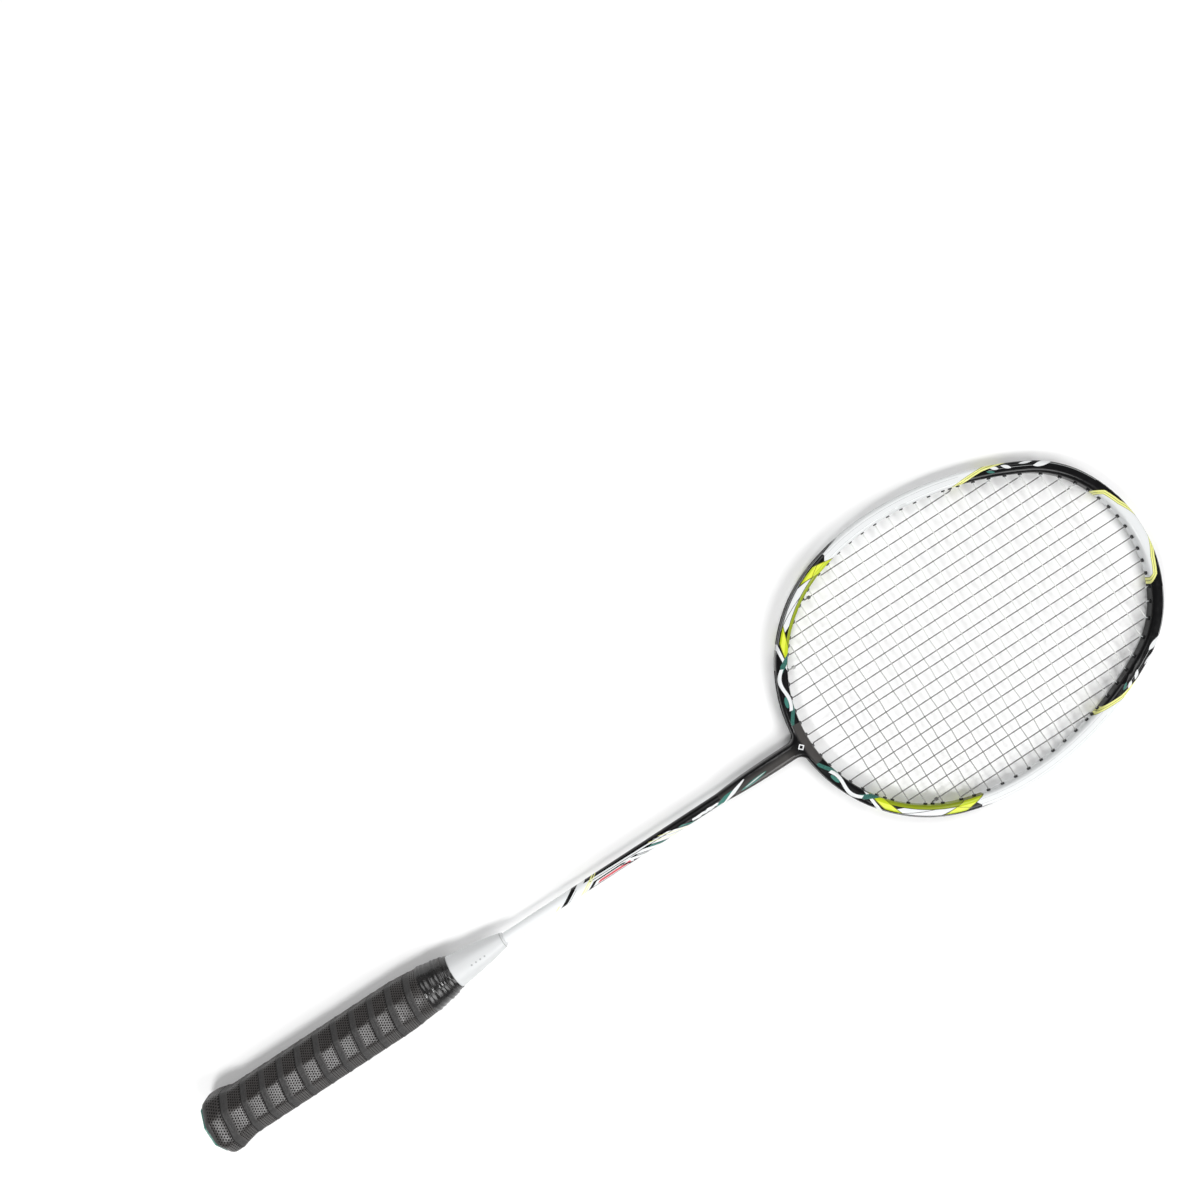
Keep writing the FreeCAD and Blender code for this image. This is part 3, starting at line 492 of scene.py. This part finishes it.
def string_material(name, dark, light, shade):
    """Twisted string: fine diagonal strands, with a painted glint where it enters the black
    shoulders.
    Painted shade darkens it towards the hoop's right side at the throat."""
    g = Graph(name, 0.4)
    x, y, z, turn, w = hoop_coordinates(g)
    strand = g.math("PINGPONG", x + y + z * 1.6, 0.32)
    tone = g.mix(g.ramp(strand, 0.05, 0.27, 0.0, 1.0), dark, light)
    # painted shade: darker towards the hoop's right side at the throat
    painted_shade_fall = g.ramp(x - y, -560.0, -450.0, 0.0, 1.0)
    tone = g.mix(painted_shade_fall * shade, tone, (0.16, 0.16, 0.155, 1))
    # painted glint: pale where the string enters the holes of the black shoulders
    painted_glint = g.band(w, -6.4, -3.0) * g.band(turn, 16.5, 58.0)
    g.colour(g.mix(painted_glint, tone, PALE))
    g.put(g.bsdf.inputs["Roughness"], g.ramp(g.noise(1.2, 3), 0.3, 0.7, 0.3, 0.46))
    g.bump(strand, 0.04, 0.7)
    return g.material


# main strings painted dark grey all over as painted shade; they are the same pale string as
# the crosses
main_string_painted_shade = string_material("string_main", (0.06, 0.06, 0.058, 1), (0.15, 0.15, 0.145, 1),
                           0.0)
gut_cross = string_material("string_cross", (0.60, 0.61, 0.59, 1), (0.78, 0.79, 0.77, 1),
                            0.8)
cap_teal = plain_material("cap_plastic", (0.008, 0.11, 0.085, 1), (0.012, 0.15, 0.115, 1),
                          0.4, 0.8, 0.05).material
alloy = plain_material("insert_alloy", (0.40, 0.41, 0.42, 1), (0.55, 0.56, 0.57, 1), 0.4,
                       0.7, 0.03)
alloy.bsdf.inputs["Metallic"].default_value = 1.0
foam = plain_material("base_grip_foam", (0.02, 0.02, 0.02, 1), (0.035, 0.035, 0.035, 1),
                      0.8, 1.0, 0.1).material


def badge_material():
    g = Graph("badge_plastic", 0.3)
    x, y, z = g.place()
    r = g.math("SQRT", x * x + z * z)
    paint = g.mix(g.band(r, 6.4, 7.2), LIME, WHITE)
    paint = g.mix(g.band(r, 0.0, 2.2), paint, BLACK)
    g.colour(paint)
    g.bump(g.noise(1.5, 3), 0.03, 0.6)
    return g.material


paint_node("hoop_frame", hoop_material())
paint_node("shaft", shaft_material())
paint_node("cone", cone_material())
paint_node("t_insert", alloy.material)
paint_node("handle_core", wood_material())
paint_node("butt_cap", cap_teal)
paint_node("butt_badge", badge_material())
paint_node("base_grip", foam)
for name in ("grommets_single", "grommets_shared", "grommets_throat"):
    paint_node(name, nylon)
paint_node("main_string", main_string_painted_shade)
paint_node("cross_string", gut_cross)


# ------------------------------------------------------------ handle surface
def swell(y):
    """Growth of the octagon at the flare, less the rounding at the butt."""
    grow = FLARE * smooth(FLARE_START - y, 0.0, FLARE_RUN)
    if y < BUTT_ROUND:
        grow -= BUTT_ROUND - math.sqrt(BUTT_ROUND ** 2 - (BUTT_ROUND - y) ** 2)
    return grow


def smooth(value, low, high):
    t = min(1.0, max(0.0, (value - low) / (high - low)))
    return t * t * (3 - 2 * t)


def octal_radius(half_x, half_z, bevel, angle, soft):
    """Distance to a softened octagon in one direction: its flats' distances, blended."""
    corner = (half_x + half_z - bevel) / math.sqrt(2)
    flats = [(1, 0, half_x), (0.7071, 0.7071, corner), (0, 1, half_z),
             (-0.7071, 0.7071, corner), (-1, 0, half_x), (-0.7071, -0.7071, corner),
             (0, -1, half_z), (0.7071, -0.7071, corner)]
    ca, sa = math.cos(angle), math.sin(angle)
    total = 0.0
    for nx, nz, level in flats:
        facing = (ca * nx + sa * nz) / level
        if facing > 0:
            total += facing ** soft
    return total ** (-1.0 / soft)


def ground(y, angle, extra):
    """Radius of the base grip's outside, or of the cone past its end, plus an extra."""
    if y < TAPER_START:
        base = BASE_GRIP
    elif y < CONE_FOOT:
        thinned = (y - TAPER_START) / (CONE_FOOT - TAPER_START)
        base = BASE_GRIP - (BASE_GRIP - FOOT_GRIP) * thinned
    else:
        base = max(0.0, FOOT_GRIP - (y - CONE_FOOT) * GRIP_THINNING)
    grow = swell(min(y, TAPER_START)) + base + extra
    soft = 26.0 + 16.0 * smooth(y, 6.0, 26.0)
    bevel = HANDLE_BEVEL + BEVEL_GROWTH * (base + extra)
    octal = octal_radius(HANDLE_X + grow, HANDLE_Z + grow, bevel, angle, soft)
    if y <= 126.0:
        return octal
    round_end = CONE_FOOT_RADIUS - max(0.0, y - CONE_FOOT) * CONE_SLOPE + base + extra
    run = smooth(y, 128.0, 154.0)
    return octal * (1 - run) + round_end * run


def mesh_object(name, verts, faces, material, uvs=None):
    data = bpy.data.meshes.new(name)
    data.from_pydata([tuple(c * MM for c in v) for v in verts], [], faces)
    data.validate()
    if uvs:
        layer = data.uv_layers.new(name="UVMap")
        for loop in data.loops:
            layer.data[loop.index].uv = uvs[loop.vertex_index]
    for polygon in data.polygons:
        polygon.use_smooth = True
    data.materials.append(material)
    piece = bpy.data.objects.new(name, data)
    bpy.context.scene.collection.objects.link(piece)
    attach(piece, "root")
    return piece


# ------------------------------------------------------------ overgrip
GRIP_START = grip_lo[1]
GRIP_END = grip_hi[1]
PITCH = 12.7
STRIP = 25.0
LAYER = 0.42
AROUND_STEPS = 720
SPIRAL_STEP = 1.25          # between stations along the strip
TOP_SEAM_Y = 63.5         # a seam's place on the upper face, which sets the phase
COLUMN, ROW = 1.42, 0.8     # hole columns, and half the space between rows


def angle_table():
    """Angles at even steps of length round the octagon."""
    lengths = [0.0]
    last = None
    for k in range(AROUND_STEPS + 1):
        angle = 2 * math.pi * k / AROUND_STEPS
        r = ground(80.0, angle, 0.6)
        spot = (r * math.cos(angle), r * math.sin(angle))
        if last:
            lengths.append(lengths[-1] + math.dist(spot, last))
        last = spot
    return lengths


LENGTHS = angle_table()
AROUND = LENGTHS[-1]


def angle_at(travel):
    turns, rest = divmod(travel, AROUND)
    low, high = 0, len(LENGTHS) - 1
    while high - low > 1:
        middle = (low + high) // 2
        if LENGTHS[middle] <= rest:
            low = middle
        else:
            high = middle
    part = (rest - LENGTHS[low]) / (LENGTHS[high] - LENGTHS[low])
    return 2 * math.pi * (turns + (low + part) / AROUND_STEPS)


def wobble(a, b, c=0.0):
    return (math.sin(a * 1.7 + 2.1 * math.sin(b * 0.9 + c))
            + 0.6 * math.sin(a * 3.1 - b * 2.3 + c)) / 1.6


def overgrip():
    start_y = TOP_SEAM_Y - 6.25 * PITCH
    turns = (GRIP_END - start_y) / PITCH
    stations = int(turns * AROUND / SPIRAL_STEP)
    across = [0.0, 0.25, 0.7, 1.3, 2.0, 2.8, 3.6, 4.4, 5.4, 6.6, 8.0, 9.4, 10.8, 11.8, 12.4,
              13.0, 13.8, 15.4, 17.4, 19.4, 21.6, 23.4, STRIP]
    verts, uvs, faces, clipped = [], [], [], []
    for i in range(stations + 1):
        travel = i * SPIRAL_STEP
        angle = angle_at(travel)
        line = start_y + PITCH * travel / AROUND
        for w in across:
            edge_shift = 0.25 * wobble(travel * 0.07, 1.0) * (1 - smooth(w, 0, 5))
            y = line + w + edge_shift
            state = -1 if y < GRIP_START else (1 if y > GRIP_END else 0)
            y = min(GRIP_END, max(GRIP_START, y))
            lift = 0.06 + (LAYER + 0.04) * (1 - smooth(w, 11.9, 13.4)) + LAYER
            lift += 0.16 * math.exp(-((w - 0.9) / 0.8) ** 2)
            lift -= 0.14 * math.exp(-((w - 4.2) / 1.4) ** 2)
            margin = 1 - smooth(w, 3.6, 5.2)
            lift += margin * 0.05 * wobble(travel * 1.5 + w, w * 1.3)
            r = ground(y, angle, lift)
            verts.append((r * math.cos(angle), y, r * math.sin(angle)))
            uvs.append((travel, w))
            clipped.append(state)
    count = len(across)
    for i in range(stations):
        for k in range(count - 1):
            quad = (i * count + k, i * count + k + 1, (i + 1) * count + k + 1,
                    (i + 1) * count + k)
            states = [clipped[q] for q in quad]
            if all(s == -1 for s in states) or all(s == 1 for s in states):
                continue
            faces.append(quad)
    material = overgrip_material()
    piece = mesh_object("overgrip_wrap", verts, faces, material, uvs)
    orient(piece)
    thick = piece.modifiers.new("film", "SOLIDIFY")
    thick.thickness = LAYER * MM
    thick.offset = -1.0
    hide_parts("overgrip")
    wound = (GRIP_END - GRIP_START) / PITCH * AROUND * MM
    return piece


def orient(piece):
    """Normals away from the racket's axis."""
    total = 0.0
    for polygon in piece.data.polygons[:400]:
        c = polygon.center
        total += polygon.normal.x * c.x + polygon.normal.z * c.z
    if total < 0:
        piece.data.flip_normals()


def overgrip_material():
    """Perforated film: u runs along the strip and v across it, both in millimetres."""
    g = Graph("overgrip_film", 0.4)
    u, v = g.uv()
    column = v * (1 / COLUMN)
    odd = g.math("FLOORED_MODULO", g.math("FLOOR", column), 2.0)
    du = g.math("PINGPONG", u + odd * ROW, ROW)
    dv = (g.math("FRACT", column) - 0.5) * COLUMN
    hole = g.math("SQRT", du * du + dv * dv)
    field = (v > 4.4) * (v < 20.5)
    # perforations: real holes, painted near black with no gloss, which adds painted shade
    # inside them
    pierced = g.ramp(hole, 0.38, 0.50, 1.0, 0.0) * field
    cloud = g.noise(0.16, 4)
    fine = g.noise(1.6, 3)
    crease = g.noise(0.62, 4, (1.0, 2.6, 1.0), 0.62)
    margin = g.ramp(v, 3.4, 4.5, 1.0, 0.0)
    # painted shadow: a near-black line without gloss along the strip's raised edge
    edge_painted_shadow = g.ramp((v - 0.15).abs(), 0.1, 0.55, 1.0, 0.0)
    tone = g.mix(g.ramp(cloud, 0.3, 0.7, 0.0, 1.0), (0.016, 0.0135, 0.0125, 1),
                 (0.027, 0.0235, 0.022, 1))
    # the unperforated margin is painted darker, as painted shade of its creased, sloping film
    tone = g.mix(margin, tone, (0.008, 0.007, 0.007, 1))
    tone = g.mix(edge_painted_shadow.either(pierced), tone, (0.001, 0.001, 0.001, 1))
    g.colour(tone)
    g.put(g.bsdf.inputs["Specular IOR Level"], 0.7 - 0.6 * edge_painted_shadow.either(pierced))
    g.put(g.bsdf.inputs["Roughness"],
          g.ramp(fine, 0.3, 0.7, 0.36, 0.48) + margin * 0.12 + pierced * 0.3)
    g.bump(fine * 0.08 + crease * (margin * 1.4 + 0.08)
           + g.ramp(hole, 0.30, 0.50, 0.0, 1.0) * field * 0.12, 0.4, 1.0)
    return g.material


# ------------------------------------------------------------ finishing tape
def finishing_tape():
    start, end = tape_lo[1], tape_hi[1]
    rows, columns = 120, 240
    ridges = [(0.055, 1.1, 0.2, 0.9), (0.19, 0.9, 1.3, 2.2), (0.36, 1.0, 2.1, 4.0),
              (0.52, 0.8, 0.5, 1.1), (0.66, 0.75, 1.9, 3.0), (0.78, 0.6, 2.8, 0.2),
              (0.88, 0.55, 0.9, 5.1), (0.965, 0.5, 1.5, 2.7)]
    verts, faces = [], []
    for i in range(rows + 1):
        t = i / rows
        for j in range(columns):
            angle = 2 * math.pi * j / columns
            ragged = 0.45 * math.sin(angle + 0.6) + 0.2 * math.sin(3 * angle)
            y = start + 0.6 + (end - start - 1.2) * t + ragged * (1.2 * t - 0.6)
            y = min(end, max(start, y))
            under = LAYER * 2 * (1 - smooth(y, 164.0, 169.0))
            r = ground(y, angle, under + 0.32)
            for place, width, phase, bend in ridges:
                centre = place + 0.035 * math.sin(angle + phase) \
                    + 0.014 * math.sin(2 * angle + bend) + 0.008 * math.sin(5 * angle + phase)
                gap = (t - centre) * (end - start) / width
                height = 0.30 + 0.14 * math.sin(angle * 2 + bend)
                r += height * math.exp(-gap * gap)
            r += 0.03 * wobble(angle * 2, t * 9)
            verts.append((r * math.cos(angle), y, r * math.sin(angle)))
    for i in range(rows):
        for j in range(columns):
            k = (j + 1) % columns
            faces.append((i * columns + j, (i + 1) * columns + j, (i + 1) * columns + k,
                          i * columns + k))
    g = Graph("tape_vinyl", 0.2)
    g.place()
    cloud = g.noise(0.3, 4)
    g.colour(g.mix(g.ramp(cloud, 0.3, 0.7, 0.0, 1.0), (0.008, 0.008, 0.008, 1),
                   (0.018, 0.017, 0.017, 1)))
    g.put(g.bsdf.inputs["Roughness"], g.ramp(cloud, 0.3, 0.7, 0.14, 0.28))
    g.bump(g.noise(0.8, 3, (1.0, 2.2, 1.0)), 0.12, 0.8)
    piece = mesh_object("tape_wrap", verts, faces, g.material)
    orient(piece)
    thick = piece.modifiers.new("vinyl", "SOLIDIFY")
    thick.thickness = 0.25 * MM
    thick.offset = -1.0
    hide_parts("finishing_tape")
    return piece


overgrip()
finishing_tape()


# ------------------------------------------------------------ stage, light, camera
def floor():
    """A pale plane just under the butt cap and just under the hoop at the tip.
    The grip's flare is wider than the cap and reaches through it."""
    rise = (hoop_lo[2] - cap_underside) / (hoop_hi[1] - 1.0)
    reach = 2600.0
    centre = 340.0
    drop = 0.4                  # below the cap's underside and the hoop's
    verts = []
    for x in (-reach, reach):
        for y in (centre - reach, centre + reach):
            verts.append((x, y, cap_underside - drop + rise * y))
    data = bpy.data.meshes.new("floor")
    data.from_pydata([tuple(c * MM for c in v) for v in verts], [], [(0, 2, 3, 1)])
    plane = bpy.data.objects.new("floor", data)
    bpy.context.scene.collection.objects.link(plane)
    g = Graph("floor_paper", 0.85)
    g.place()
    g.colour(g.mix(g.ramp(g.noise(0.01, 2), 0.3, 0.7, 0.0, 1.0), (0.90, 0.90, 0.90, 1),
                   (0.93, 0.93, 0.93, 1)))
    data.materials.append(g.material)


def lamp(name, place, aim, size, power):
    data = bpy.data.lights.new(name, "AREA")
    data.shape = "DISK"
    data.size = size * MM
    data.energy = power
    lamp_object = bpy.data.objects.new(name, data)
    lamp_object.location = [c * MM for c in place]
    direction = Vector(aim) - Vector(place)
    lamp_object.rotation_euler = direction.to_track_quat("-Z", "Y").to_euler()
    bpy.context.scene.collection.objects.link(lamp_object)


def camera():
    data = bpy.data.cameras.new("camera")
    data.sensor_width = 36.0
    data.lens = 36.0
    data.clip_start = 0.01
    place = Vector((-161.0, 337.3, 732.0))
    aim = Vector((-142.1, 366.1, 0.0))
    forward = (aim - place).normalized()
    heading = math.radians(57.33)
    flat = Vector((math.cos(heading), math.sin(heading), 0.0))
    side = (flat - forward * flat.dot(forward)).normalized()
    up = side.cross(forward)
    view = bpy.data.objects.new("camera", data)
    basis = Matrix((side, up, -forward)).transposed().to_4x4()
    view.matrix_world = Matrix.Translation(place * MM) @ basis
    bpy.context.scene.collection.objects.link(view)
    bpy.context.scene.camera = view


floor()
lamp("key", (1900.0, 1050.0, 2250.0), (0.0, 330.0, 0.0), 2000.0, 62.0)
lamp("fill", (-1750.0, 1600.0, 3000.0), (0.0, 330.0, 0.0), 2600.0, 66.0)
lamp("sheen", (215.0, -270.0, 930.0), (0.0, 90.0, 0.0), 260.0, 6.0)
world = bpy.data.worlds.new("studio")
world.use_nodes = True
world.node_tree.nodes["Background"].inputs[0].default_value = (1.0, 1.0, 1.0, 1)
world.node_tree.nodes["Background"].inputs[1].default_value = 0.20
bpy.context.scene.world = world
bpy.context.scene.view_settings.view_transform = "Standard"
camera()
